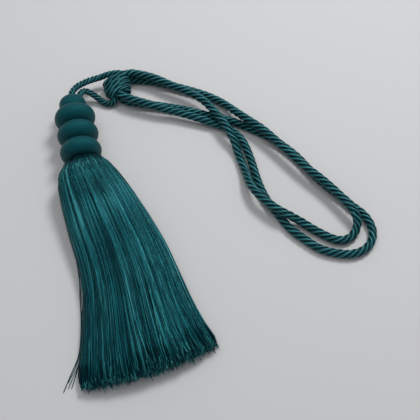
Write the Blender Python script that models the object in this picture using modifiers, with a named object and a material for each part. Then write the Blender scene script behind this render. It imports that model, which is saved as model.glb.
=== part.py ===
"""Curtain tieback tassel, lying on a flat surface.

A thread-wound head of four turned beads carries a long skirt of cut threads. A thin twisted cord
leaves the top of the head twice and is wound round the waist of a thick rope ring, which it
pinches into two loops. The frame has +Z up and +Y from the skirt towards the head.
"""

import math

import bmesh
import bpy
from mathutils import Matrix, Vector

MM = 0.001

# Clearances, in metres.
GAP = 0.3 * MM

# Head: turned beads on one axis that lies level, from the cap down to the skirt.
BEAD_RADIUS = 19.3 * MM
BEAD_PITCH = 19.6 * MM
BEAD_COUNT = 3
BEAD_ROUNDNESS = 12.5 * MM  # axial half-size of the ellipse that a bead's profile follows
CAP_RADIUS = 12.8 * MM
CAP_LENGTH = 12.8 * MM
CAP_CROWN = 7.0 * MM  # axial size of the cap's rounded upper part
CAP_TOP_RADIUS = 7.4 * MM
CAP_NECK = 0.93  # radius where the cap meets the first bead, as a share of its full radius
FLAT_CUT = 0.35 * MM  # how much of a bead the flat spot takes away
TURN_STEPS = 30
HEAD_START = Vector((-60.8 * MM, 129.0 * MM))  # axis point where the cap meets the first bead
HEAD_TILT = math.radians(12.6)  # turn of the head's axis from -Y towards +X

# Skirt: a flattened bundle of threads, cut off square to its own axis.
SKIRT_TILT = math.radians(19.0)
SKIRT_SETBACK = 2.3 * MM  # room for the skirt to turn away from the last bead
SKIRT_COLUMNS = 33
SKIRT_ROWS = 27
SKIRT_RIDGES = 9  # main locks of thread side by side
SKIRT_RIDGE_DEPTH = 0.9 * MM
SKIRT_BOW = 7.0 * MM  # how much further the middle of the cut edge reaches than its corners
SKIRT_COMB_DEPTH = 4.0 * MM  # how far the cut ends run ahead of each other
# Distance along the axis, left reach, right reach, height, height of the widest line (all mm).
SKIRT_SECTIONS = (
    (0.0, -16.5, 16.5, 33.5, 19.0),
    (7.0, -25.0, 22.5, 36.5, 17.0),
    (20.0, -29.0, 28.5, 37.5, 13.0),
    (42.0, -30.5, 36.0, 34.0, 9.5),
    (72.0, -31.5, 43.5, 28.5, 7.0),
    (100.0, -33.0, 48.5, 24.5, 6.0),
    (130.0, -38.0, 51.0, 21.5, 5.0),
    (158.0, -46.5, 53.0, 19.0, 4.5),
    (181.0, -53.5, 56.0, 17.5, 4.0),
    (200.0, -58.0, 61.0, 16.0, 3.5),
)

# Cords.
ROPE_DIAMETER = 8.0 * MM
LEAD_DIAMETER = 6.4 * MM
POINT_SPACING = 2.75  # tube points lie this many diameters apart on a straight run
LEAD_SPACING = 2.0
ROPE_ROUNDNESS = 3  # bevel resolution of the tubes
LEAD_ROUNDNESS = 2
BEND_SHARE = 3.0  # extra diameters of spacing that one radian of bend is worth
FINE_STEPS = 24  # samples of the smooth curve between two route points

# Routes of the cords' centre lines: x, y, z in millimetres, chosen along each lie.
INNER_LOOP = (
    (-9.8, 179.6, 12.6), (-2.0, 178.4, 12.7), (10.0, 175.0, 12.8), (20.0, 170.5, 12.8),
    (30.0, 165.0, 12.7), (40.0, 160.5, 12.4), (50.0, 155.5, 12.3), (59.0, 149.5, 12.2),
    (65.5, 143.0, 12.6), (73.5, 132.0, 13.6), (81.0, 121.5, 13.6), (87.0, 111.0, 13.4),
    (92.5, 100.5, 8.8), (96.5, 88.0, 4.4), (102.0, 69.5, 5.2), (106.0, 52.0, 10.2),
    (112.0, 40.5, 13.3), (121.0, 31.0, 13.4), (130.5, 23.0, 13.3), (141.5, 17.5, 11.4),
    (152.5, 14.0, 5.6), (164.0, 6.5, 4.2), (183.5, -3.5, 4.2), (193.0, -2.0, 4.2),
    (199.5, 4.5, 4.6), (202.0, 12.5, 7.6), (200.0, 19.5, 12.0), (195.0, 27.5, 13.5),
    (185.0, 40.5, 13.5), (172.5, 54.5, 13.4), (160.0, 66.5, 13.4), (133.5, 96.0, 13.4),
    (119.0, 111.5, 13.4), (106.0, 122.5, 12.8), (93.0, 135.5, 9.6), (78.5, 150.5, 4.9),
    (62.5, 159.5, 4.2), (27.5, 171.5, 4.2), (9.5, 176.0, 4.2), (-9.4, 177.5, 4.2),
)
OUTER_LOOP = (
    (-17.4, 152.6, 12.6), (-8.5, 147.8, 12.9), (11.5, 141.0, 12.4), (23.0, 137.5, 11.2),
    (35.5, 135.0, 9.6), (60.0, 127.5, 7.6), (70.5, 124.0, 6.4), (81.0, 121.0, 4.8),
    (91.5, 114.5, 4.2), (100.5, 103.5, 4.2), (106.5, 87.5, 4.2), (115.0, 54.5, 4.2),
    (121.5, 38.5, 4.2), (131.0, 23.5, 4.2), (141.5, 8.5, 4.2), (154.5, -3.0, 4.2),
    (168.0, -12.5, 4.2), (181.0, -16.5, 4.2), (193.5, -17.5, 4.2), (205.0, -14.0, 4.2),
    (213.0, -5.5, 4.2), (215.5, 5.5, 4.2), (212.5, 17.0, 4.2), (206.5, 25.5, 4.2),
    (199.0, 32.0, 4.2), (193.5, 38.5, 4.2), (184.5, 46.5, 4.2), (174.0, 56.5, 4.2),
    (163.5, 69.5, 4.2), (153.5, 83.5, 4.2), (142.0, 95.5, 4.2), (128.0, 107.0, 4.2),
    (113.0, 116.0, 4.2), (98.5, 123.5, 4.2), (86.0, 129.0, 4.2), (71.5, 132.5, 4.2),
    (43.0, 141.0, 4.2), (13.5, 146.5, 4.2), (-1.0, 148.6, 4.2), (-15.6, 152.4, 4.2),
)
UPPER_LEAD = (
    (-64.6, 143.8, 20.4), (-64.2, 149.0, 20.1), (-60.7, 157.0, 18.6), (-54.8, 163.2, 16.8),
    (-47.8, 168.6, 15.0), (-42.2, 171.8, 13.8), (-38.0, 173.6, 13.4),
)
LOWER_LEAD = (
    (-57.4, 145.4, 18.6), (-56.0, 151.5, 17.0), (-53.0, 155.8, 14.6), (-48.5, 156.4, 11.4),
    (-43.6, 154.8, 8.0), (-39.0, 152.4, 5.2), (-34.6, 149.6, 3.7), (-29.6, 147.8, 3.7),
    (-25.6, 148.5, 4.8), (-23.4, 150.4, 6.4),
)

# Knot: turns of the thin cord side by side round the rope's waist.
KNOT_CENTRE = Vector((-20.6 * MM, 166.0 * MM, 9.6 * MM))
KNOT_TURN = math.radians(22.0)  # turn of the knot's axis from +Y towards -X
KNOT_WIDTH = 26.4 * MM
KNOT_HEIGHT = 19.4 * MM
KNOT_TURNS = 4
KNOT_PITCH = 4.9 * MM
KNOT_STEPS = 26
KNOT_GROOVE = 0.88  # radius between two turns as a share of the full radius
KNOT_TAPER = 0.33  # how much smaller the turns get towards the skirt, as a share

# Colours: linear red, green and blue.
WOUND_TEAL = (0.008, 0.082, 0.092, 1.0)
THREAD_TEAL = (0.010, 0.115, 0.122, 1.0)
CORD_TEAL = (0.006, 0.075, 0.082, 1.0)


def clear_scene():
    for obj in list(bpy.data.objects):
        bpy.data.objects.remove(obj, do_unlink=True)


def new_collection(name):
    collection = bpy.data.collections.new(name)
    bpy.context.scene.collection.children.link(collection)
    return collection


def new_material(name, colour, roughness):
    material = bpy.data.materials.new(name)
    material.use_nodes = True
    shader = material.node_tree.nodes["Principled BSDF"]
    shader.inputs["Base Color"].default_value = colour
    shader.inputs["Roughness"].default_value = roughness
    shader.inputs["Metallic"].default_value = 0.0
    return material


def object_from_bmesh(name, mesh_data, collection, material):
    mesh = bpy.data.meshes.new(name)
    mesh_data.to_mesh(mesh)
    mesh_data.free()
    mesh.materials.append(material)
    mesh.shade_smooth()
    mesh.set_sharp_from_angle(angle=math.radians(50))
    obj = bpy.data.objects.new(name, mesh)
    collection.objects.link(obj)
    return obj


def turned_mesh(profile, steps):
    """A solid of revolution about Z, as a bmesh, from (radius, z) points that run top to bottom."""
    mesh = bpy.data.meshes.new("profile")
    points = [(radius, 0.0, height) for radius, height in profile]
    edges = [(i, i + 1) for i in range(len(points) - 1)]
    mesh.from_pydata(points, edges, [])
    helper = bpy.data.objects.new("profile", mesh)
    bpy.context.scene.collection.objects.link(helper)
    screw = helper.modifiers.new("Screw", "SCREW")
    screw.axis = "Z"
    screw.angle = math.tau
    screw.steps = steps
    screw.render_steps = steps
    screw.use_merge_vertices = True
    screw.merge_threshold = 0.00001
    graph = bpy.context.evaluated_depsgraph_get()
    turned = bpy.data.meshes.new_from_object(helper.evaluated_get(graph))
    result = bmesh.new()
    result.from_mesh(turned)
    bmesh.ops.remove_doubles(result, verts=result.verts, dist=0.00001)
    bmesh.ops.recalc_face_normals(result, faces=result.faces)
    bpy.data.objects.remove(helper, do_unlink=True)
    bpy.data.meshes.remove(turned)
    bpy.data.meshes.remove(mesh)
    return result


def flatten_underside(mesh_data, height=0.0):
    """Cuts away what lies below the given height and closes the cut with one flat face."""
    cut = bmesh.ops.bisect_plane(
        mesh_data,
        geom=mesh_data.verts[:] + mesh_data.edges[:] + mesh_data.faces[:],
        dist=0.000001,
        plane_co=(0.0, 0.0, height),
        plane_no=(0.0, 0.0, -1.0),
        clear_outer=True,
    )
    rim = [item for item in cut["geom_cut"] if isinstance(item, bmesh.types.BMEdge)]
    if rim:
        bmesh.ops.contextual_create(mesh_data, geom=rim)
    bmesh.ops.recalc_face_normals(mesh_data, faces=mesh_data.faces)


def head_matrix(distance):
    """Places a turned shape at a distance down the head's axis, its own -Z pointing at the skirt."""
    along = Vector((math.sin(HEAD_TILT), -math.cos(HEAD_TILT), 0.0))
    up = Vector((0.0, 0.0, 1.0))
    side = up.cross(-along)
    turn = Matrix((side, up, -along)).transposed().to_4x4()
    place = HEAD_START.to_3d() + along * distance
    place.z = BEAD_RADIUS - FLAT_CUT
    return Matrix.Translation(place) @ turn


def bead_profile():
    """Half an ellipse, cut off where it meets the next bead, from the top end to the bottom end."""
    half = (BEAD_PITCH - GAP) / 2
    count = 13
    points = [(0.0, half)]
    for i in range(count):
        height = half * (1 - 2 * i / (count - 1))
        points.append((BEAD_RADIUS * math.sqrt(1 - (height / BEAD_ROUNDNESS) ** 2), height))
    points.append((0.0, -half))
    return points


def cap_profile():
    """A dome with a flat top that the cords leave, curving in again where it meets the bead."""
    count = 9
    waist = CAP_CROWN - CAP_LENGTH
    points = [(0.0, CAP_CROWN)]
    for i in range(count):
        angle = math.radians(90) * i / (count - 1)
        reach = CAP_TOP_RADIUS + (CAP_RADIUS - CAP_TOP_RADIUS) * math.sin(angle)
        points.append((reach, CAP_CROWN * math.cos(angle)))
    points.append((CAP_RADIUS * (3 + CAP_NECK) / 4, waist / 2))
    points.append((CAP_RADIUS * CAP_NECK, waist))
    points.append((0.0, waist))
    return points


def make_head(collection, material):
    for i in range(BEAD_COUNT):
        mesh_data = turned_mesh(bead_profile(), TURN_STEPS)
        mesh_data.transform(head_matrix(BEAD_PITCH * (i + 0.5)))
        flatten_underside(mesh_data)
        object_from_bmesh(f"head_bead_{i + 1}", mesh_data, collection, material)
    mesh_data = turned_mesh(cap_profile(), TURN_STEPS)
    mesh_data.transform(head_matrix(CAP_CROWN - CAP_LENGTH - GAP))
    object_from_bmesh("head_cap", mesh_data, collection, material)


def smooth_value(knots, position):
    """Cubic Hermite reading of (position, value) rows, with slopes taken from the neighbours."""
    last = len(knots) - 1
    i = 0
    while i < last - 1 and position > knots[i + 1][0]:
        i += 1
    slopes = []
    for k in (i, i + 1):
        before = knots[max(k - 1, 0)]
        after = knots[min(k + 1, last)]
        slopes.append((after[1] - before[1]) / (after[0] - before[0]))
    span = knots[i + 1][0] - knots[i][0]
    t = (position - knots[i][0]) / span
    return (
        (2 * t**3 - 3 * t**2 + 1) * knots[i][1]
        + (t**3 - 2 * t**2 + t) * span * slopes[0]
        + (3 * t**2 - 2 * t**3) * knots[i + 1][1]
        + (t**3 - t**2) * span * slopes[1]
    )


def skirt_section(distance):
    """Left reach, right reach, height and height of the widest line at a distance, in metres."""
    return [
        smooth_value([(row[0], row[k]) for row in SKIRT_SECTIONS], distance / MM) * MM
        for k in range(1, 5)
    ]


def skirt_point(row, column, top):
    """A point of the skirt's upper or under side, in metres, in the object's frame."""
    length = SKIRT_SECTIONS[-1][0] * MM
    share = row / (SKIRT_ROWS - 1)
    distance = length * share
    left, right, height, widest = skirt_section(distance)
    angle = math.pi * (1 - column / (SKIRT_COLUMNS - 1))
    across = (left + right) / 2 + (right - left) / 2 * math.cos(angle)
    bulge = math.sin(angle)
    ridge = math.sin(SKIRT_RIDGES * math.tau * column / (SKIRT_COLUMNS - 1) + 1.3 * share)
    ridge *= SKIRT_RIDGE_DEPTH * bulge * min(1.0, 4 * share)
    if top:
        z = widest + (height - widest) * bulge**0.8 + ridge
    else:
        floor = FLAT_CUT * 2 * max(0.0, 1 - 8 * share)
        z = max(floor, widest - 1.6 * widest * bulge**0.7)
    comb = math.sin(2.9 * column) * math.cos(1.1 * column + 0.4)
    distance += SKIRT_COMB_DEPTH * comb * max(0.0, (share - 0.8) / 0.2) ** 2
    distance += SKIRT_BOW * bulge**2 * max(0.0, (share - 0.4) / 0.6) ** 2
    along = Vector((math.sin(SKIRT_TILT), -math.cos(SKIRT_TILT), 0.0))
    side = Vector((math.cos(SKIRT_TILT), math.sin(SKIRT_TILT), 0.0))
    return skirt_start() + along * distance + side * across + Vector((0.0, 0.0, z))


def skirt_start():
    """Where the skirt's axis leaves the last bead, on the surface."""
    along = Vector((math.sin(HEAD_TILT), -math.cos(HEAD_TILT), 0.0))
    return HEAD_START.to_3d() + along * (BEAD_PITCH * BEAD_COUNT + SKIRT_SETBACK)


def make_skirt(collection, material):
    """A loft of upper and under points, closed along both edges and at both ends."""
    mesh_data = bmesh.new()
    last = SKIRT_COLUMNS - 1
    upper = []
    under = []
    for row in range(SKIRT_ROWS):
        tops = [mesh_data.verts.new(skirt_point(row, c, True)) for c in range(SKIRT_COLUMNS)]
        lows = [mesh_data.verts.new(skirt_point(row, c, False)) for c in range(1, last)]
        upper.append(tops)
        under.append([tops[0], *lows, tops[last]])
    for row in range(SKIRT_ROWS - 1):
        for c in range(last):
            a, b = upper[row], upper[row + 1]
            mesh_data.faces.new((a[c], b[c], b[c + 1], a[c + 1]))
            a, b = under[row], under[row + 1]
            mesh_data.faces.new((a[c], a[c + 1], b[c + 1], b[c]))
    for row, flip in ((0, False), (SKIRT_ROWS - 1, True)):
        for c in range(last):
            corners = [upper[row][c], upper[row][c + 1], under[row][c + 1], under[row][c]]
            ring = [v for i, v in enumerate(corners) if v not in corners[:i]]
            mesh_data.faces.new(ring[::-1] if flip else ring)
    bmesh.ops.triangulate(mesh_data, faces=mesh_data.faces)
    bmesh.ops.recalc_face_normals(mesh_data, faces=mesh_data.faces)
    return object_from_bmesh("skirt", mesh_data, collection, material)


def smooth_route(points):
    """Dense points on a centripetal Catmull-Rom curve through the given points, in metres."""
    knots = [Vector(p) * MM for p in points]
    knots = [2 * knots[0] - knots[1], *knots, 2 * knots[-1] - knots[-2]]
    dense = []
    for a, b, c, d in zip(knots, knots[1:], knots[2:], knots[3:]):
        t1 = math.sqrt((b - a).length)
        t2 = t1 + math.sqrt((c - b).length)
        t3 = t2 + math.sqrt((d - c).length)
        for i in range(FINE_STEPS):
            t = t1 + (t2 - t1) * i / FINE_STEPS
            ab = a.lerp(b, t / t1)
            bc = b.lerp(c, (t - t1) / (t2 - t1))
            cd = c.lerp(d, (t - t2) / (t3 - t2))
            abc = ab.lerp(bc, t / t2)
            bcd = bc.lerp(cd, (t - t1) / (t3 - t1))
            dense.append(abc.lerp(bcd, (t - t1) / (t2 - t1)))
    dense.append(knots[-2])
    return dense


def tube_points(dense, diameter, spacing):
    """Points picked from a dense line, closer together where it bends, the two ends included."""
    weights = [0.0]
    previous = dense[1] - dense[0]
    for a, b in zip(dense, dense[1:]):
        step = b - a
        turn = step.angle(previous, 0.0)
        weights.append(weights[-1] + step.length + BEND_SHARE * diameter * turn)
        previous = step
    count = max(3, round(weights[-1] / (spacing * diameter)))
    result = []
    k = 0
    for i in range(count + 1):
        target = weights[-1] * i / count
        while k < len(dense) - 2 and weights[k + 1] < target:
            k += 1
        share = (target - weights[k]) / (weights[k + 1] - weights[k])
        result.append(dense[k].lerp(dense[k + 1], share))
    return result


def make_cord(name, route, diameter, spacing, roundness, collection, material):
    points = tube_points(smooth_route(route), diameter, spacing)
    curve = bpy.data.curves.new(name, "CURVE")
    curve.dimensions = "3D"
    curve.bevel_depth = diameter / 2
    curve.bevel_resolution = roundness
    curve.use_fill_caps = True
    spline = curve.splines.new("POLY")
    spline.points.add(len(points) - 1)
    for knot, point in zip(spline.points, points):
        knot.co = (*point, 1.0)
    spline.use_smooth = True
    curve.materials.append(material)
    obj = bpy.data.objects.new(name, curve)
    collection.objects.link(obj)
    return obj


def knot_profile():
    """Side-by-side turns as round ridges, as (radius, z) for a unit radius, top to bottom."""
    half = KNOT_PITCH * KNOT_TURNS / 2
    count = 6
    points = [(0.0, half - GAP)]
    for turn in range(KNOT_TURNS):
        top = half - KNOT_PITCH * turn
        for i in range(count):
            share = (i + 0.5) / count
            bulge = math.sin(math.pi * share) ** 0.6
            height = top - KNOT_PITCH * share
            taper = 1 - KNOT_TAPER * ((height + half) / (2 * half)) ** 2
            points.append((taper * (KNOT_GROOVE + (1 - KNOT_GROOVE) * bulge), height))
    points.append((0.0, GAP - half))
    return points


def make_knot(collection, material):
    mesh_data = turned_mesh(knot_profile(), KNOT_STEPS)
    stretch = Matrix.Diagonal((KNOT_WIDTH / 2, KNOT_HEIGHT / 2, 1.0, 1.0))
    lay_down = Matrix.Rotation(math.radians(90), 4, "X")
    turn = Matrix.Rotation(KNOT_TURN, 4, "Z")
    mesh_data.transform(Matrix.Translation(KNOT_CENTRE) @ turn @ lay_down @ stretch)
    flatten_underside(mesh_data)
    return object_from_bmesh("knot", mesh_data, collection, material)


def main():
    clear_scene()
    collection = new_collection("curtain_tieback_tassel")
    wound = new_material("wound_thread", WOUND_TEAL, 0.55)
    thread = new_material("skirt_thread", THREAD_TEAL, 0.4)
    cord = new_material("twisted_cord", CORD_TEAL, 0.45)
    make_head(collection, wound)
    make_skirt(collection, thread)
    make_knot(collection, cord)
    rope = (ROPE_DIAMETER, POINT_SPACING, ROPE_ROUNDNESS, collection, cord)
    lead = (LEAD_DIAMETER, LEAD_SPACING, LEAD_ROUNDNESS, collection, cord)
    make_cord("rope_inner", INNER_LOOP, *rope)
    make_cord("rope_outer", OUTER_LOOP, *rope)
    make_cord("lead_upper", UPPER_LEAD, *lead)
    make_cord("lead_lower", LOWER_LEAD, *lead)


main()
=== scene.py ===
"""Curtain tieback tassel: twisted ropes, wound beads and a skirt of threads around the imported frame."""

import math

import bpy
import numpy as np
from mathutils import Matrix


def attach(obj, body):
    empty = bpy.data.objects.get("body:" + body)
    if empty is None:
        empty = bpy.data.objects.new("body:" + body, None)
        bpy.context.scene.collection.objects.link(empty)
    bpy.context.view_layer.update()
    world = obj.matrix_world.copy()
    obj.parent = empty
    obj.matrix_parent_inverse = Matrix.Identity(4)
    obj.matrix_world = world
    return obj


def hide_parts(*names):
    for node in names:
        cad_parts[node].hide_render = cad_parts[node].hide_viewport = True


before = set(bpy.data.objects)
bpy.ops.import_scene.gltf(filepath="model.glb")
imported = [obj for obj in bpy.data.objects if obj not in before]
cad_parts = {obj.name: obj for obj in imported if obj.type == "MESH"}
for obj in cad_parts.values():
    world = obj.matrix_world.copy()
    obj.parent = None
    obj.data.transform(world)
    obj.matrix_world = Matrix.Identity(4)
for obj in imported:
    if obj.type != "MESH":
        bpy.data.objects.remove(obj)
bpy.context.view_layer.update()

MM = 0.001
rng = np.random.default_rng(11)

# ---------------------------------------------------------------- camera

camera_data = bpy.data.cameras.new("camera")
camera_data.sensor_width = 36.0
camera_data.lens = 72.86
camera = bpy.data.objects.new("camera", camera_data)
camera.location = (0.0695, -0.3595, 0.6746)
camera.rotation_euler = (math.radians(30.0), 0.0, 0.0)
bpy.context.scene.collection.objects.link(camera)
bpy.context.scene.camera = camera
bpy.context.scene.view_settings.view_transform = "Standard"

# ---------------------------------------------------------------- materials


def new_material(name, roughness, **settings):
    material = bpy.data.materials.new(name)
    material.use_nodes = True
    shader = material.node_tree.nodes["Principled BSDF"]
    shader.inputs["Roughness"].default_value = roughness
    for key, value in settings.items():
        shader.inputs[key.replace("_", " ")].default_value = value
    return material, shader


def add_node(material, kind, **values):
    """A node of that kind; its values go to attributes or, with a leading in_, to input sockets."""
    node = material.node_tree.nodes.new(kind)
    for key, value in values.items():
        if key.startswith("in_"):
            node.inputs[key[3:].replace("_", " ")].default_value = value
        else:
            setattr(node, key, value)
    return node


def link(material, source, target):
    material.node_tree.links.new(source, target)


def colour_ramp(material, source, stops):
    ramp = add_node(material, "ShaderNodeValToRGB")
    elements = ramp.color_ramp.elements
    while len(elements) < len(stops):
        elements.new(0.5)
    for element, (position, colour) in zip(elements, stops):
        element.position = position
        element.color = (*colour, 1.0)
    link(material, source, ramp.inputs["Fac"])
    return ramp.outputs["Color"]


def stretched_noise(material, stretch, scale, turn=0.0):
    """Noise drawn out along the thread direction of the piece's thread map."""
    place = add_node(material, "ShaderNodeUVMap", uv_map="thread")
    mapping = add_node(material, "ShaderNodeMapping")
    mapping.inputs["Scale"].default_value = (*stretch, 1.0)
    mapping.inputs["Rotation"].default_value = (0.0, 0.0, turn)
    noise = add_node(material, "ShaderNodeTexNoise", in_Scale=scale, in_Detail=3.0)
    link(material, place.outputs["UV"], mapping.inputs["Vector"])
    link(material, mapping.outputs["Vector"], noise.inputs["Vector"])
    return noise.outputs["Fac"]


def add_bump(material, shader, height, strength, distance):
    bump = add_node(material, "ShaderNodeBump", in_Strength=strength, in_Distance=distance)
    link(material, height, bump.inputs["Height"])
    link(material, bump.outputs["Normal"], shader.inputs["Normal"])


def shade_value(material):
    """The number that each thread or strand point carries, 0 dark to 1 light: its own tone together with
    painted shade and painted highlight.
    """
    node = add_node(material, "ShaderNodeAttribute", attribute_name="shade")
    return node.outputs["Fac"]


def mixed(material, a, b, factor):
    """a times factor, plus b."""
    node = add_node(material, "ShaderNodeMath", operation="MULTIPLY_ADD")
    link(material, a, node.inputs[0])
    node.inputs[1].default_value = factor
    link(material, b, node.inputs[2])
    return node.outputs["Value"]


# Dyed thread and cord give back teal light, not white.
GLOSS = (0.08, 0.72, 0.85, 1.0)
CORD_GLOSS = (0.25, 0.80, 0.92, 1.0)


def cord_material():
    material, shader = new_material(
        "cord_strands", 0.30, Specular_IOR_Level=0.42, Specular_Tint=CORD_GLOSS
    )
    fibres = stretched_noise(material, (0.9, 14.0), 3.0, turn=0.35)
    patch = stretched_noise(material, (0.05, 0.5), 2.0)
    level = mixed(material, fibres, shade_value(material), 0.30)
    level = mixed(material, patch, level, 0.20)
    # The top stop gives the strands' painted highlights along their crests; the bottom stops give their
    # painted shade in the valleys between strands.
    colour = colour_ramp(
        material,
        level,
        [
            (0.18, (0.0002, 0.0008, 0.0016)),
            (0.50, (0.0010, 0.011, 0.014)),
            (0.78, (0.0050, 0.062, 0.072)),
            (1.0, (0.050, 0.230, 0.250)),
        ],
    )
    link(material, colour, shader.inputs["Base Color"])
    add_bump(material, shader, fibres, 0.35, 0.00025)
    return material


def thread_material(name, light):
    """Silky thread; light multiplies its colours."""
    material, shader = new_material(
        name, 0.32, Specular_IOR_Level=0.5, Specular_Tint=GLOSS
    )
    streaks = stretched_noise(material, (0.12, 3.0), 2.0)
    level = mixed(material, streaks, shade_value(material), 0.3)
    colour = colour_ramp(
        material,
        level,
        [
            (0.10, (0.0002 * light, 0.0025 * light, 0.0035 * light)),
            (0.35, (0.0007 * light, 0.015 * light, 0.020 * light)),
            (0.60, (0.0018 * light, 0.048 * light, 0.060 * light)),
            (0.85, (0.0080 * light, 0.130 * light, 0.150 * light)),
            (1.0, (0.060 * light, 0.300 * light, 0.320 * light)),
        ],
    )
    link(material, colour, shader.inputs["Base Color"])
    return material


def crossing_lines(material, turn):
    """Fine lines laid at an angle on the thread map, a little uneven."""
    place = add_node(material, "ShaderNodeUVMap", uv_map="thread")
    mapping = add_node(material, "ShaderNodeMapping")
    mapping.inputs["Rotation"].default_value = (0.0, 0.0, turn)
    wave = add_node(
        material, "ShaderNodeTexWave",
        in_Scale=0.17, in_Distortion=0.7, in_Detail=2.0, in_Detail_Scale=0.6,
    )
    link(material, place.outputs["UV"], mapping.inputs["Vector"])
    link(material, mapping.outputs["Vector"], wave.inputs["Vector"])
    return wave.outputs["Fac"]


WINDING_ANGLE = 0.72  # radians, each way


def wound_material():
    material, shader = new_material(
        "wound_thread", 0.5, Specular_IOR_Level=0.35, Specular_Tint=GLOSS
    )
    one = crossing_lines(material, WINDING_ANGLE)
    other = crossing_lines(material, -WINDING_ANGLE)
    both = add_node(material, "ShaderNodeMath", operation="MULTIPLY")
    link(material, one, both.inputs[0])
    link(material, other, both.inputs[1])
    cloud = stretched_noise(material, (0.5, 0.9), 0.5)
    level = mixed(material, both.outputs["Value"], shade_value(material), 1.1)
    level = mixed(material, cloud, level, 0.22)
    colour = colour_ramp(
        material,
        level,
        [
            (0.15, (0.0006, 0.010, 0.013)),
            (0.50, (0.0022, 0.034, 0.042)),
            (0.95, (0.0085, 0.098, 0.112)),
        ],
    )
    link(material, colour, shader.inputs["Base Color"])
    add_bump(material, shader, both.outputs["Value"], 0.8, 0.0004)
    return material


CORD = cord_material()
THREADS = thread_material("skirt_threads", 1.0)
# Thread colour at three tenths, for painted shade inside the skirt.
DARK_THREADS = thread_material("skirt_shadow_threads", 0.3)
WOUND = wound_material()

# ---------------------------------------------------------------- mesh helpers


def make_piece(name, verts, faces, uv, shade, material):
    """A smooth mesh piece. uv is one pair and shade one number for each vertex."""
    mesh = bpy.data.meshes.new(name)
    mesh.from_pydata(verts.tolist(), [], faces)
    corners = np.empty(len(mesh.loops), dtype=np.int32)
    mesh.loops.foreach_get("vertex_index", corners)
    layer = mesh.uv_layers.new(name="thread")
    layer.uv.foreach_set("vector", uv[corners].astype(np.float32).ravel())
    attribute = mesh.attributes.new("shade", "FLOAT", "POINT")
    attribute.data.foreach_set("value", shade.astype(np.float32))
    mesh.shade_smooth()
    mesh.materials.append(material)
    piece = bpy.data.objects.new(name, mesh)
    bpy.context.scene.collection.objects.link(piece)
    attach(piece, "root")
    return piece


def unit(vectors):
    return vectors / np.maximum(np.linalg.norm(vectors, axis=-1, keepdims=True), 1e-12)


ROUTE_SAMPLES = 40  # curve points between two route points


def smooth_route(points, step, soften=0.0):
    """Evenly spaced points on a centripetal Catmull-Rom curve through points in millimetres.

    soften evens out bends over about that many millimetres.
    """
    knots = np.array(points) * MM
    knots = np.vstack([2 * knots[0] - knots[1], knots, 2 * knots[-1] - knots[-2]])
    dense = []
    for a, b, c, d in zip(knots, knots[1:], knots[2:], knots[3:]):
        t1 = math.sqrt(np.linalg.norm(b - a))
        t2 = t1 + math.sqrt(np.linalg.norm(c - b))
        t3 = t2 + math.sqrt(np.linalg.norm(d - c))
        t = np.linspace(t1, t2, ROUTE_SAMPLES, endpoint=False)[:, None]
        ab = a + (b - a) * t / t1
        bc = b + (c - b) * (t - t1) / (t2 - t1)
        cd = c + (d - c) * (t - t2) / (t3 - t2)
        abc = ab + (bc - ab) * t / t2
        bcd = bc + (cd - bc) * (t - t1) / (t3 - t1)
        dense.append(abc + (bcd - abc) * (t - t1) / (t2 - t1))
    dense.append(knots[-2:-1])
    path = even(np.vstack(dense), step)
    for _ in range(int((soften * MM / step) ** 2)):
        path[1:-1] = 0.25 * path[:-2] + 0.5 * path[1:-1] + 0.25 * path[2:]
    return even(path, step)


def even(path, step):
    """The same path with its points about a step apart."""
    gaps = np.linalg.norm(np.diff(path, axis=0), axis=1)
    lengths = np.concatenate([[0.0], np.cumsum(gaps)])
    count = max(2, round(lengths[-1] / step))
    places = np.linspace(0.0, lengths[-1], count + 1)
    return np.stack([np.interp(places, lengths, path[:, k]) for k in range(3)], axis=1)


def moving_axes(path):
    """Two unit vectors across the path at each point, carried along it without twist."""
    along = unit(np.gradient(path, axis=0))
    first = np.cross(along[0], (0.0, 0.0, 1.0))
    if np.linalg.norm(first) < 0.2:
        first = np.cross(along[0], (1.0, 0.0, 0.0))
    across = [unit(first)]
    for direction in along[1:]:
        kept = across[-1] - direction * np.dot(across[-1], direction)
        across.append(unit(kept))
    across = np.array(across)
    return across, np.cross(along, across)


def ring_faces(rings, sides):
    """Quads between rings of vertices, with both ends closed."""
    faces = []
    for i in range(rings - 1):
        low = i * sides
        for j in range(sides):
            k = (j + 1) % sides
            faces.append((low + j, low + k, low + sides + k, low + sides + j))
    faces.append(tuple(range(sides))[::-1])
    faces.append(tuple((rings - 1) * sides + j for j in range(sides)))
    return faces


STRANDS = 5
STRAND_POINTS = 7  # profile points on each strand's rounded back
STRAND_CENTRE = 0.62  # how far out a strand's middle lies, as a share of the cord's radius
STRAND_RADIUS = 0.38
STRAND_TONES = np.array([0.0, 0.05, -0.04, 0.02, -0.02])


def strand_profile():
    """Angle, radius and place across the strand, for the outside of strands laid side by side."""
    spread = math.pi / STRANDS
    angles, reaches, places = [], [], []
    for k in range(STRANDS):
        for i in range(STRAND_POINTS - 1):
            place = 2 * i / (STRAND_POINTS - 1) - 1
            off = spread * math.copysign(abs(place) ** 0.8, place)
            inside = max(STRAND_RADIUS**2 - (STRAND_CENTRE * math.sin(off)) ** 2, 0.0)
            angles.append(2 * spread * k + off)
            reaches.append(STRAND_CENTRE * math.cos(off) + math.sqrt(inside))
            places.append(place)
    return np.array(angles), np.array(reaches), np.array(places)


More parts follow.
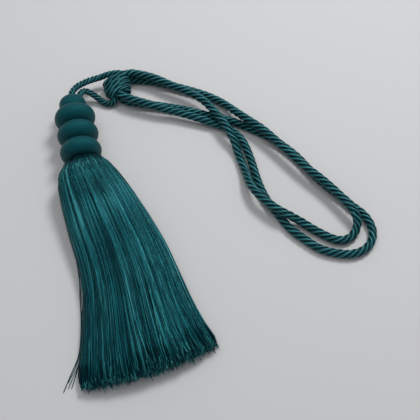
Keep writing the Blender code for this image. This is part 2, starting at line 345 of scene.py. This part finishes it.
def twisted_cord(name, path, diameter, lay):
    """One closed mesh of the strands twisted round the path, one turn in each lay."""
    angles, reaches, places = strand_profile()
    side, up = moving_axes(path)
    gaps = np.linalg.norm(np.diff(path, axis=0), axis=1)
    travel = np.concatenate([[0.0], np.cumsum(gaps)])
    turn = -math.tau * travel / lay
    around = angles[None, :] + turn[:, None]
    reach = reaches[None, :, None] * diameter / 2
    verts = path[:, None] + reach * (
        np.cos(around)[..., None] * side[:, None] + np.sin(around)[..., None] * up[:, None]
    )
    rings, sides = around.shape
    strand = np.arange(sides) // (STRAND_POINTS - 1)
    u = np.repeat(travel / MM, sides)
    v = np.tile(places * 0.5 + strand, rings) * 0.6
    # Each strand is painted lighter along its crest and darker towards the valleys between strands:
    # painted highlight and painted shade. STRAND_TONES gives each strand its own tone.
    ridge = (1.0 - np.abs(places)) ** 0.9
    shade = np.tile(-0.16 + 0.86 * ridge + STRAND_TONES[strand], rings)
    return make_piece(
        name, verts.reshape(-1, 3), ring_faces(rings, sides),
        np.stack([u, v], axis=1), shade, CORD,
    )


# ---------------------------------------------------------------- cords

INNER_LOOP = (
    (-9.8, 179.6, 12.6), (-2.0, 178.4, 12.7), (10.0, 175.0, 12.8), (20.0, 170.5, 12.8),
    (30.0, 165.0, 12.7), (40.0, 160.5, 12.4), (50.0, 155.5, 12.3), (59.0, 149.5, 12.2),
    (65.5, 143.0, 12.6), (73.5, 132.0, 13.6), (81.0, 121.5, 13.6), (87.0, 111.0, 13.4),
    (92.5, 100.5, 8.8), (96.5, 88.0, 4.4), (102.0, 69.5, 5.2), (106.0, 52.0, 10.2),
    (112.0, 40.5, 13.3), (121.0, 31.0, 13.4), (130.5, 23.0, 13.3), (141.5, 17.5, 11.4),
    (152.5, 14.0, 5.6), (164.0, 6.5, 4.2), (183.5, -3.5, 4.2), (193.0, -2.0, 4.2),
    (199.5, 4.5, 4.6), (202.0, 12.5, 7.6), (200.0, 19.5, 12.0), (195.0, 27.5, 13.5),
    (185.0, 40.5, 13.5), (172.5, 54.5, 13.4), (160.0, 66.5, 13.4), (133.5, 96.0, 13.4),
    (119.0, 111.5, 13.4), (106.0, 122.5, 12.8), (93.0, 135.5, 9.6), (78.5, 150.5, 4.9),
    (62.5, 159.5, 4.2), (27.5, 171.5, 4.2), (9.5, 176.0, 4.2), (-9.4, 177.5, 4.2),
)
OUTER_LOOP = (
    (-17.4, 152.6, 12.6), (-8.5, 147.8, 12.9), (11.5, 141.0, 12.4), (23.0, 137.5, 11.2),
    (35.5, 135.0, 9.6), (60.0, 127.5, 7.6), (70.5, 124.0, 6.4), (81.0, 121.0, 4.8),
    (91.5, 114.5, 4.2), (100.5, 103.5, 4.2), (106.5, 87.5, 4.2), (115.0, 54.5, 4.2),
    (121.5, 38.5, 4.2), (131.0, 23.5, 4.2), (141.5, 8.5, 4.2), (154.5, -3.0, 4.2),
    (168.0, -12.5, 4.2), (181.0, -16.5, 4.2), (193.5, -17.5, 4.2), (205.0, -14.0, 4.2),
    (213.0, -5.5, 4.2), (215.5, 5.5, 4.2), (212.5, 17.0, 4.2), (206.5, 25.5, 4.2),
    (199.0, 32.0, 4.2), (193.5, 38.5, 4.2), (184.5, 46.5, 4.2), (174.0, 56.5, 4.2),
    (163.5, 69.5, 4.2), (153.5, 83.5, 4.2), (142.0, 95.5, 4.2), (128.0, 107.0, 4.2),
    (113.0, 116.0, 4.2), (98.5, 123.5, 4.2), (86.0, 129.0, 4.2), (71.5, 132.5, 4.2),
    (43.0, 141.0, 4.2), (13.5, 146.5, 4.2), (-1.0, 148.6, 4.2), (-15.6, 152.4, 4.2),
)
UPPER_LEAD = (
    (-64.6, 143.8, 20.4), (-64.2, 149.0, 20.1), (-60.7, 157.0, 18.6), (-54.8, 163.2, 16.8),
    (-47.8, 168.6, 15.0), (-42.2, 171.8, 13.8), (-38.0, 173.6, 13.4),
)
LOWER_LEAD = (
    (-57.4, 145.4, 18.6), (-56.0, 151.5, 17.0), (-53.0, 155.8, 14.6), (-48.5, 156.4, 11.4),
    (-43.6, 154.8, 8.0), (-39.0, 152.4, 5.2), (-34.6, 149.6, 3.7), (-29.6, 147.8, 3.7),
    (-25.6, 148.5, 4.8), (-23.4, 150.4, 6.4),
)
ROPE = 8.0 * MM
LEAD = 6.4 * MM
ROPE_LAY = 32.0 * MM
LEAD_LAY = 22.0 * MM
CORD_STEP = 0.8 * MM
CORD_SOFTEN = 3.0


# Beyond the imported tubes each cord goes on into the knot, or round its near end.
INNER_START = [(-19.0, 175.0, 10.5), (-14.5, 178.2, 12.2)]
INNER_END = [(-14.5, 176.5, 4.6), (-20.0, 173.5, 6.0)]
OUTER_START = [(-21.5, 160.0, 12.0)]
OUTER_END = [(-20.0, 158.0, 5.5)]
UPPER_END = [
    (-33.0, 175.0, 15.0), (-27.0, 175.6, 16.4), (-21.0, 176.6, 16.2), (-15.5, 177.6, 13.4),
    (-13.2, 177.6, 9.0),
]
LOWER_END = [(-22.8, 153.6, 9.0), (-22.9, 157.5, 11.0)]


def declare_cord(piece, node):
    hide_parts(node)


for label, node, route, diameter, lay in (
    ("rope_inner_twisted", "rope_inner", [*INNER_START, *INNER_LOOP, *INNER_END], ROPE, ROPE_LAY),
    ("rope_outer_twisted", "rope_outer", [*OUTER_START, *OUTER_LOOP, *OUTER_END], ROPE, ROPE_LAY),
    ("lead_upper_twisted", "lead_upper", [*UPPER_LEAD, *UPPER_END], LEAD, LEAD_LAY),
    ("lead_lower_twisted", "lead_lower", [*LOWER_LEAD, *LOWER_END], LEAD, LEAD_LAY),
):
    line = smooth_route(route, CORD_STEP, CORD_SOFTEN)
    declare_cord(twisted_cord(label, line, diameter, lay), node)

# ---------------------------------------------------------------- knot

KNOT_START = np.array([-25.2, 174.6, 9.7]) * MM  # middle of the turn furthest from the skirt
KNOT_STEP = np.array([2.1, -4.7, 0.1]) * MM  # from one turn to the next
KNOT_TURN = math.radians(23.0)
KNOT_CORD = 6.4 * MM
KNOT_LAY = 44.0 * MM
# Half width and half height of the cord's centre line, turn by turn, then how far its left side
# hangs towards the skirt and how much wider it is.
KNOT_SIZES = np.array([
    (10.2, 6.7, 3.5, 0.5),
    (10.6, 6.7, 4.3, 1.2),
    (10.0, 6.2, 4.2, 3.0),
    (8.4, 5.4, 3.0, 2.5),
    (6.8, 4.6, 1.2, 1.0),
]) * MM
KNOT_TURNS = 3.9
KNOT_START_ANGLE = math.radians(-100.0)  # underneath, where the cord's end doesn't show
KNOT_STEP_LENGTH = 0.6 * MM


def make_knot():
    side = np.array([math.cos(KNOT_TURN), math.sin(KNOT_TURN), 0.0])
    up = np.array([0.0, 0.0, 1.0])
    t = np.linspace(0.0, KNOT_TURNS, 400)
    angle = KNOT_START_ANGLE - math.tau * t
    turns = np.arange(len(KNOT_SIZES))
    width, height, hang, more = (np.interp(t, turns, column) for column in KNOT_SIZES.T)
    left = ((1 - np.cos(angle)) / 2) ** 1.6
    path = (
        KNOT_START
        + KNOT_STEP * t[:, None]
        + side * (width * np.cos(angle) - more * left)[:, None]
        + up * (height * np.sin(angle))[:, None]
        + unit(KNOT_STEP) * (hang * left)[:, None]
    )
    path = even(path, KNOT_STEP_LENGTH)
    piece = twisted_cord("knot_turns", path, KNOT_CORD, KNOT_LAY)
    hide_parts("knot")


make_knot()

# ---------------------------------------------------------------- head

HEAD_START = np.array([-60.8, 129.0]) * MM
HEAD_TILT = math.radians(12.6)
BEAD_RADIUS = 19.3 * MM
BEAD_PITCH = 19.6 * MM
BEAD_COUNT = 3
BEAD_ROUNDNESS = 12.5 * MM
AXIS_HEIGHT = BEAD_RADIUS - 0.35 * MM  # the beads are flat where they rest
BEAD_GAP = 0.3 * MM
CAP_RADIUS = 12.8 * MM
CAP_LENGTH = 12.8 * MM
CAP_CROWN = 7.0 * MM
CAP_TOP_RADIUS = 7.4 * MM
CAP_DOME_STEPS = 17
# How far down the cap's straight part, and how wide it is there, as shares.
CAP_WAIST = ((0.25, 0.995), (0.5, 0.982), (0.75, 0.96), (1.0, 0.93))
HEAD_ALONG = np.array([math.sin(HEAD_TILT), -math.cos(HEAD_TILT), 0.0])
HEAD_SIDE = np.array([math.cos(HEAD_TILT), math.sin(HEAD_TILT), 0.0])


def turned_piece(name, profile, distance, node, steps=120):
    """A turned form from (radius, distance down the head's axis) points, flat where it rests."""
    profile = np.array(profile)
    gaps = np.linalg.norm(np.diff(profile, axis=0), axis=1)
    arc = np.concatenate([[0.0], np.cumsum(gaps)])
    angle = np.linspace(0.0, math.tau, steps, endpoint=False)
    centre = np.array([*HEAD_START, AXIS_HEIGHT]) + HEAD_ALONG * distance
    out = np.cos(angle)[:, None] * HEAD_SIDE + np.sin(angle)[:, None] * np.array([0.0, 0.0, 1.0])
    verts = centre + profile[:, 0, None, None] * out + profile[:, 1, None, None] * HEAD_ALONG
    verts[..., 2] = np.maximum(verts[..., 2], 0.0)
    stride = 2 * math.pi * BEAD_RADIUS / MM / steps
    place = np.minimum(np.arange(steps), steps - np.arange(steps)) * stride
    u = np.tile(place, len(profile))
    v = np.repeat(arc / MM, steps)
    # Painted shade: each turned piece is painted darker towards its narrow ends, in the grooves where the
    # pieces meet.
    depth = profile[:, 0] / profile[:, 0].max()
    shade = np.repeat(0.02 + 0.24 * np.clip((depth - 0.6) / 0.4, 0, 1), steps)
    piece = make_piece(
        name, verts.reshape(-1, 3), ring_faces(len(profile), steps),
        np.stack([u, v], axis=1), shade, WOUND,
    )
    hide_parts(node)


def bead_profile():
    half = (BEAD_PITCH - BEAD_GAP) / 2
    heights = -half * np.cos(np.linspace(0.0, math.pi, 34))
    body = [(BEAD_RADIUS * math.sqrt(1 - (h / BEAD_ROUNDNESS) ** 2), h) for h in heights]
    end = body[0][0]
    return [(0.4 * end, -half), (0.8 * end, -half), *body, (0.8 * end, half), (0.4 * end, half)]


def cap_profile():
    waist = CAP_LENGTH - CAP_CROWN
    rows = [
        (0.30 * CAP_TOP_RADIUS, 2.5 * MM - CAP_CROWN),
        (0.62 * CAP_TOP_RADIUS, 1.2 * MM - CAP_CROWN),
    ]
    for i in range(CAP_DOME_STEPS + 1):
        angle = math.radians(90) * i / CAP_DOME_STEPS
        reach = CAP_TOP_RADIUS + (CAP_RADIUS - CAP_TOP_RADIUS) * math.sin(angle)
        rows.append((reach, -CAP_CROWN * math.cos(angle)))
    for share, width in CAP_WAIST:
        rows.append((CAP_RADIUS * width, waist * share))
    rows.append((0.4 * CAP_RADIUS, waist))
    return rows


for i in range(BEAD_COUNT):
    turned_piece(f"bead_{i + 1}_wound", bead_profile(), BEAD_PITCH * (i + 0.5), f"head_bead_{i + 1}")
turned_piece("cap_wound", cap_profile(), CAP_CROWN - CAP_LENGTH - BEAD_GAP, "head_cap", 90)

# ---------------------------------------------------------------- skirt

SKIRT_TILT = math.radians(19.0)
SKIRT_SETBACK = 2.3 * MM
SKIRT_BOW = 7.0 * MM
# Distance along the axis, left reach, right reach, height, height of the widest line (all mm).
# Towards the cut end the left reach is up to 4 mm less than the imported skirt's, which takes in the
# loose threads there.
SKIRT_SECTIONS = np.array([
    (0.0, -16.5, 16.5, 33.5, 19.0),
    (7.0, -25.0, 22.5, 36.5, 17.0),
    (20.0, -29.0, 28.5, 37.5, 13.0),
    (42.0, -30.5, 36.0, 34.0, 9.5),
    (72.0, -31.5, 43.5, 28.5, 7.0),
    (100.0, -31.0, 48.5, 24.5, 6.0),
    (130.0, -34.5, 51.0, 21.5, 5.0),
    (158.0, -42.5, 53.0, 19.0, 4.5),
    (181.0, -50.5, 56.0, 17.5, 4.0),
    (200.0, -57.0, 61.0, 16.0, 3.5),
])
SKIRT_LENGTH = SKIRT_SECTIONS[-1, 0] * MM
SKIRT_ALONG = np.array([math.sin(SKIRT_TILT), -math.cos(SKIRT_TILT), 0.0])
SKIRT_SIDE = np.array([math.cos(SKIRT_TILT), math.sin(SKIRT_TILT), 0.0])
SKIRT_START = np.array([*HEAD_START, 0.0]) + HEAD_ALONG * (BEAD_PITCH * BEAD_COUNT + SKIRT_SETBACK)


SECTION_POINTS = 400
SECTION_PASSES = 150  # smoothing passes


def section(share, column):
    """A section value at a share of the length, smoothly between the table's rows."""
    fine = np.linspace(0.0, SKIRT_LENGTH, SECTION_POINTS)
    rows = SKIRT_SECTIONS[:, 0] * MM
    values = np.interp(fine, rows, SKIRT_SECTIONS[:, column] * MM)
    ends = 2 * values[[0, -1]]
    for _ in range(SECTION_PASSES):
        padded = np.concatenate([[ends[0] - values[1]], values, [ends[1] - values[-2]]])
        values = 0.25 * padded[:-2] + 0.5 * padded[1:-1] + 0.25 * padded[2:]
    return np.interp(share * SKIRT_LENGTH, fine, values)


def hump(value, middle, width):
    """1 at the middle, falling smoothly to 0 on both sides."""
    return np.exp(-(((value - middle) / width) ** 2))


HOLLOW = 2.4 * MM  # the shallow dip in the skirt's top, near the head
LOWEST = 0.35 * MM  # height of the lowest thread's middle


def skirt_place(share, across, depth, extra=0.0, lift=0.0):
    """Points in the skirt: share along it, across from -1 to 1, depth from 0 below to 1 on top."""
    left, right = section(share, 1), section(share, 2)
    height, widest = section(share, 3), section(share, 4)
    bulge = np.sqrt(np.clip(1 - across**2, 0.0, 1.0))
    top = widest + (height - widest) * bulge**0.8
    top = top - HOLLOW * hump(share, 0.16, 0.05) * hump(across, 0.05, 0.34)
    under = np.maximum(widest - 1.6 * widest * bulge**0.7, LOWEST)
    z = under + (top - under) * depth + lift
    bow = SKIRT_BOW * bulge**2 * np.clip((share - 0.4) / 0.6, 0, 1) ** 2
    distance = share * SKIRT_LENGTH + bow + extra
    x = (left + right) / 2 + (right - left) / 2 * across
    return (
        SKIRT_START + distance[..., None] * SKIRT_ALONG + x[..., None] * SKIRT_SIDE
        + np.maximum(z, LOWEST)[..., None] * np.array([0.0, 0.0, 1.0])
    )


def thread_piece(name, paths, radius, shade, material):
    """Many three-sided threads in one mesh. paths is threads by points by 3."""
    threads, points, _ = paths.shape
    along = unit(np.gradient(paths, axis=1))
    side = unit(np.cross(along, (0.0, 0.0, 1.0)))
    up = np.cross(side, along)
    spin = rng.uniform(0, math.tau, (threads, 1, 1))
    angle = spin + np.arange(3)[None, None, :] * math.tau / 3
    taper = np.ones(points)
    taper[-1] = 0.6
    reach = (radius[:, None] * taper)[:, :, None, None]
    verts = paths[:, :, None] + reach * (
        np.cos(angle)[..., None] * side[:, :, None] + np.sin(angle)[..., None] * up[:, :, None]
    )
    verts[..., 2] = np.maximum(verts[..., 2], 0.05 * MM)
    base = np.arange(threads)[:, None, None] * points * 3 + np.arange(points - 1)[None, :, None] * 3
    j = np.arange(3)[None, None, :]
    k = (j + 1) % 3
    quads = np.stack([base + j, base + k, base + 3 + k, base + 3 + j], axis=-1).reshape(-1, 4)
    first = np.arange(threads) * points * 3
    last = first + (points - 1) * 3
    start_caps = np.stack([first + 2, first + 1, first], 1)
    end_caps = np.stack([last, last + 1, last + 2], 1)
    caps = np.vstack([start_caps, end_caps])
    travel = np.linspace(0.0, 1.0, points) * SKIRT_LENGTH / MM
    u = np.broadcast_to(travel[None, :, None], (threads, points, 3)).ravel()
    v = np.broadcast_to(rng.uniform(0, 200, threads)[:, None, None], (threads, points, 3)).ravel()
    tone = np.broadcast_to(shade[..., None], (threads, points, 3)).ravel()
    make_piece(
        name, verts.reshape(-1, 3), quads.tolist() + caps.tolist(),
        np.stack([u, v], axis=1), tone, material,
    )


LOCKS = 420
lock_across = np.sort(rng.uniform(-1.0, 1.0, LOCKS))
lock_width = rng.uniform(0.0015, 0.0050, LOCKS)
lock_lift = rng.normal(0.0, 0.8, LOCKS) * MM
lock_tone = rng.choice([-0.26, -0.10, 0.0, 0.08, 0.20], LOCKS)
lock_lean = rng.normal(0.0, 0.030, LOCKS)
lock_wave = rng.normal(0.0, 0.010, LOCKS)
lock_phase = rng.uniform(0, math.tau, LOCKS)


def painted_sheen_and_shade(share, across):
    """Painted sheen and painted shade: silk looks lighter or darker with the way it lies, painted as
    bands across the skirt, and painted shade darkens a hollow near the head and the start of the skirt
    under the beads.
    """
    tone = 0.10 * hump(share, 0.06, 0.05) + 0.12 * hump(share + 0.05 * across, 0.28, 0.07)
    tone -= 0.34 * hump(share, 0.165, 0.05) * hump(across, 0.0, 0.42)
    tone -= 0.13 * hump(share + 0.10 * across, 0.46, 0.10) * hump(across, -0.2, 0.8)
    tone -= 0.40 * hump(share, 0.0, 0.018)
    return tone


def long_threads(count, points, stray):
    """Paths and shades for threads that run the whole skirt in loose locks."""
    share = np.linspace(0.0, 1.0, points)[None, :] ** 1.15
    lock = rng.integers(0, LOCKS, count)
    place = rng.normal(0.0, 1.0, count)
    start = np.clip(lock_across[lock] + place * lock_width[lock], -0.985, 0.985)
    loose = rng.random(count) < 0.18
    lean = lock_lean[lock] + rng.normal(0.0, np.where(loose, stray, 0.003), count)
    phase = lock_phase[lock] + rng.normal(0.0, 0.3, count)
    wave = lock_wave[lock] + rng.normal(0.0, np.where(loose, 0.020, 0.001), count)
    across = (
        start[:, None]
        + lean[:, None] * share**1.4
        + wave[:, None] * np.sin(5.0 * share + phase[:, None]) * share
    )
    across = np.clip(across, -0.995, 0.995)
    on_top = rng.random(count) < 0.68
    depth = np.where(on_top, 1 - np.abs(rng.normal(0, 0.012, count)), rng.uniform(0.0, 0.95, count))
    sunk = np.minimum(place**2, 3.0)
    extra = rng.normal(0.0, 2.2, count) * MM - 1.0 * MM
    lift = lock_lift[lock] - 0.45 * MM * sunk + loose * rng.uniform(0.3, 1.2, count) * MM
    paths = skirt_place(
        np.broadcast_to(share, across.shape),
        across,
        np.broadcast_to(depth[:, None], across.shape),
        extra[:, None] * share**2,
        lift[:, None] * np.sqrt(share) * (depth[:, None] > 0.3),
    )
    # Threads sunk away from their lock's middle are painted darker: painted shade between the locks.
    # lock_tone and the random part are each lock's and thread's own tone.
    tone = 0.25 + lock_tone[lock] - 0.07 * sunk + rng.normal(0.0, 0.06, count)
    tone += np.where(loose, rng.choice([-0.25, 0.0, 0.40], count), 0.0)
    # Painted sheen comes and goes along each thread; the bands and hollow of painted sheen and shade are
    # added last.
    painted_sheen_along = 0.12 * np.sin((9.0 + 8.0 * lock_wave[lock] / 0.012)[:, None] * share + 3 * phase[:, None])
    return paths, tone[:, None] + painted_sheen_along + 1.7 * painted_sheen_and_shade(share, across)


for i in range(3):
    lines, tones = long_threads(1500, 16, 0.07)
    thread_piece(
        f"skirt_threads_{i + 1}", lines, rng.uniform(0.24, 0.52, len(lines)) * MM, tones, THREADS
    )


def top_threads(count, points):
    """Single threads that lie over the locks and wander, more so towards the cut end."""
    share = np.linspace(0.01, 1.0, points)[None, :] * rng.uniform(0.93, 1.012, count)[:, None]
    start = rng.uniform(-0.96, 0.96, count)
    lean = rng.normal(0.0, 0.05, count)
    phase = rng.uniform(0, math.tau, (2, count))
    across = start[:, None] + lean[:, None] * share**1.6
    across += 0.010 * share * np.sin(8.0 * share + phase[0][:, None])
    across += 0.007 * share**2 * np.sin(26.0 * share + phase[1][:, None])
    lift = rng.uniform(0.2, 1.1, count)[:, None] * MM * np.sqrt(share)
    paths = skirt_place(share, np.clip(across, -0.99, 0.99), np.ones_like(share), 0.0 * share, lift)
    tone = rng.choice([-0.10, 0.28, 0.74], count, p=[0.50, 0.20, 0.30]) + rng.normal(0.0, 0.06, count)
    # Painted sheen comes and goes along each thread; the bands and hollow of painted sheen and shade are
    # added last.
    painted_sheen_along = 0.10 * np.sin(14.0 * share + 2 * phase[0][:, None])
    return paths, tone[:, None] + painted_sheen_along + 1.5 * painted_sheen_and_shade(share, across)


lines, tones = top_threads(1300, 20)
thread_piece("skirt_top_threads", lines, rng.uniform(0.28, 0.46, len(lines)) * MM, tones, THREADS)


TIP_POINTS = 6


def make_tips(name, count, on_top):
    """Threads of the cut end: through the depth of the bundle, or frayed out on its top."""
    run = np.linspace(0.0, 1.0, TIP_POINTS)[None, :]
    begin = rng.uniform(0.84, 0.93, count)[:, None]
    share = begin + (rng.normal(1.0, 0.012, count)[:, None] - begin) * run
    start = rng.uniform(-0.97, 0.97, count)
    spread = 0.035 if on_top else 0.02
    across = np.clip(start[:, None] + rng.normal(0, spread, count)[:, None] * run**1.3, -0.99, 0.99)
    depth = np.ones(count) if on_top else rng.uniform(0.0, 0.97, count)
    lift = rng.uniform(-0.3, 1.3, count)[:, None] * MM * run * on_top
    paths = skirt_place(share, across, np.broadcast_to(depth[:, None], across.shape), 0.0 * share, lift)
    # The last part of each tip is painted lighter: painted light on the cut end, which faces away from
    # the key light. The choice gives each tip its own tone.
    tone = rng.choice([0.0, 0.30, 0.62], count)[:, None] + 0.30 * run**4
    thread_piece(name, paths, rng.uniform(0.28, 0.46, count) * MM, tone, THREADS)


make_tips("skirt_tips", 3600, False)
make_tips("skirt_frayed_tips", 1100, True)


CORE_ROWS = 60
CORE_COLUMNS = 64
CORE_LENGTH = 0.93  # share of the skirt's length


def make_core():
    """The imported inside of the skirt, a little inside the threads and shorter than them."""
    rows, columns = CORE_ROWS, CORE_COLUMNS
    share = np.linspace(0.0, CORE_LENGTH, rows)[:, None] * np.ones((1, columns))
    angle = np.linspace(0, math.tau, columns, endpoint=False)[None, :] * np.ones((rows, 1))
    across = 0.955 * np.cos(angle)
    depth = 0.5 + 0.43 * np.sign(np.sin(angle)) * np.abs(np.sin(angle)) ** 0.35
    verts = skirt_place(share, across, depth)
    verts[..., 2] = np.maximum(verts[..., 2], 0.2 * MM)
    u = share.ravel() * SKIRT_LENGTH / MM
    v = angle.ravel() * 30.0
    # The core has the darker thread colour and one low shade: painted shade for the inside of the bundle,
    # seen through the gaps between threads.
    shade = np.full(rows * columns, 0.3)
    piece = make_piece(
        "skirt_core", verts.reshape(-1, 3), ring_faces(rows, columns),
        np.stack([u, v], axis=1), shade, DARK_THREADS,
    )
    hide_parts("skirt")


make_core()

# Threads that have come away from the bundle's edges, in millimetres.
LOOSE_THREADS = (
    ((-51.5, -1.0, 6.0), (-51.3, -8.8, 4.0), (-45.8, -31.5, 2.0), (-42.9, -57.6, 0.6),
     (-40.0, -83.3, 0.5), (-40.0, -110.1, 0.5), (-45.2, -127.4, 0.5), (-49.9, -142.2, 0.5)),
    ((-50.3, -13.3, 6.0), (-43.4, -46.9, 3.0), (-38.1, -83.7, 0.8), (-37.8, -112.0, 0.5),
     (-41.7, -125.6, 0.5), (-46.2, -138.9, 0.5)),
    ((-38.0, -85.0, 2.0), (-38.4, -101.0, 0.8), (-39.4, -118.0, 0.5), (-41.8, -131.0, 0.5),
     (-43.6, -139.0, 0.5)),
    ((-40.0, -70.0, 2.5), (-38.6, -95.0, 0.7), (-41.0, -118.0, 0.5), (-46.5, -134.0, 0.5)),
    ((66.0, -84.0, 3.0), (72.5, -95.0, 1.0), (77.0, -103.0, 0.5)),
    ((64.0, -88.0, 3.0), (69.5, -99.0, 0.8), (73.7, -108.0, 0.5)),
)
LOOSE_STEP = 3.0 * MM
LOOSE_RADIUS = 0.42 * MM
LOOSE_TONE = 0.40


def make_loose():
    for i, route in enumerate(LOOSE_THREADS):
        line = smooth_route(route, LOOSE_STEP)[None]
        tone = np.full((1, line.shape[1]), LOOSE_TONE)
        thread_piece(f"loose_thread_{i + 1}", line, np.array([LOOSE_RADIUS]), tone, THREADS)


make_loose()

# ---------------------------------------------------------------- floor and light

floor_mesh = bpy.data.meshes.new("floor")
floor_mesh.from_pydata([(-4, -4, 0), (4, -4, 0), (4, 4, 0), (-4, 4, 0)], [], [(0, 1, 2, 3)])
floor_material, floor_shader = new_material("floor_pale", 0.85)
floor_shader.inputs["Base Color"].default_value = (0.55, 0.55, 0.55, 1.0)
floor_mesh.materials.append(floor_material)
floor = bpy.data.objects.new("floor", floor_mesh)
bpy.context.scene.collection.objects.link(floor)

world = bpy.data.worlds.new("world")
world.use_nodes = True
world.node_tree.nodes["Background"].inputs["Color"].default_value = (0.93, 0.96, 1.0, 1.0)
world.node_tree.nodes["Background"].inputs["Strength"].default_value = 0.40
bpy.context.scene.world = world


def area_light(name, location, target, size, power):
    data = bpy.data.lights.new(name, "AREA")
    data.shape = "DISK"
    data.size = size
    data.energy = power
    light = bpy.data.objects.new(name, data)
    light.location = location
    aim = np.array(target) - np.array(location)
    flat = math.hypot(aim[0], aim[1])
    light.rotation_euler = (math.atan2(flat, -aim[2]), 0.0, math.atan2(-aim[0], aim[1]))
    bpy.context.scene.collection.objects.link(light)


area_light("key", (0.50, 0.70, 1.20), (0.03, 0.03, 0.0), 0.45, 12.0)
area_light("top", (-0.35, 0.3, 1.6), (0.03, 0.03, 0.0), 1.2, 6.0)
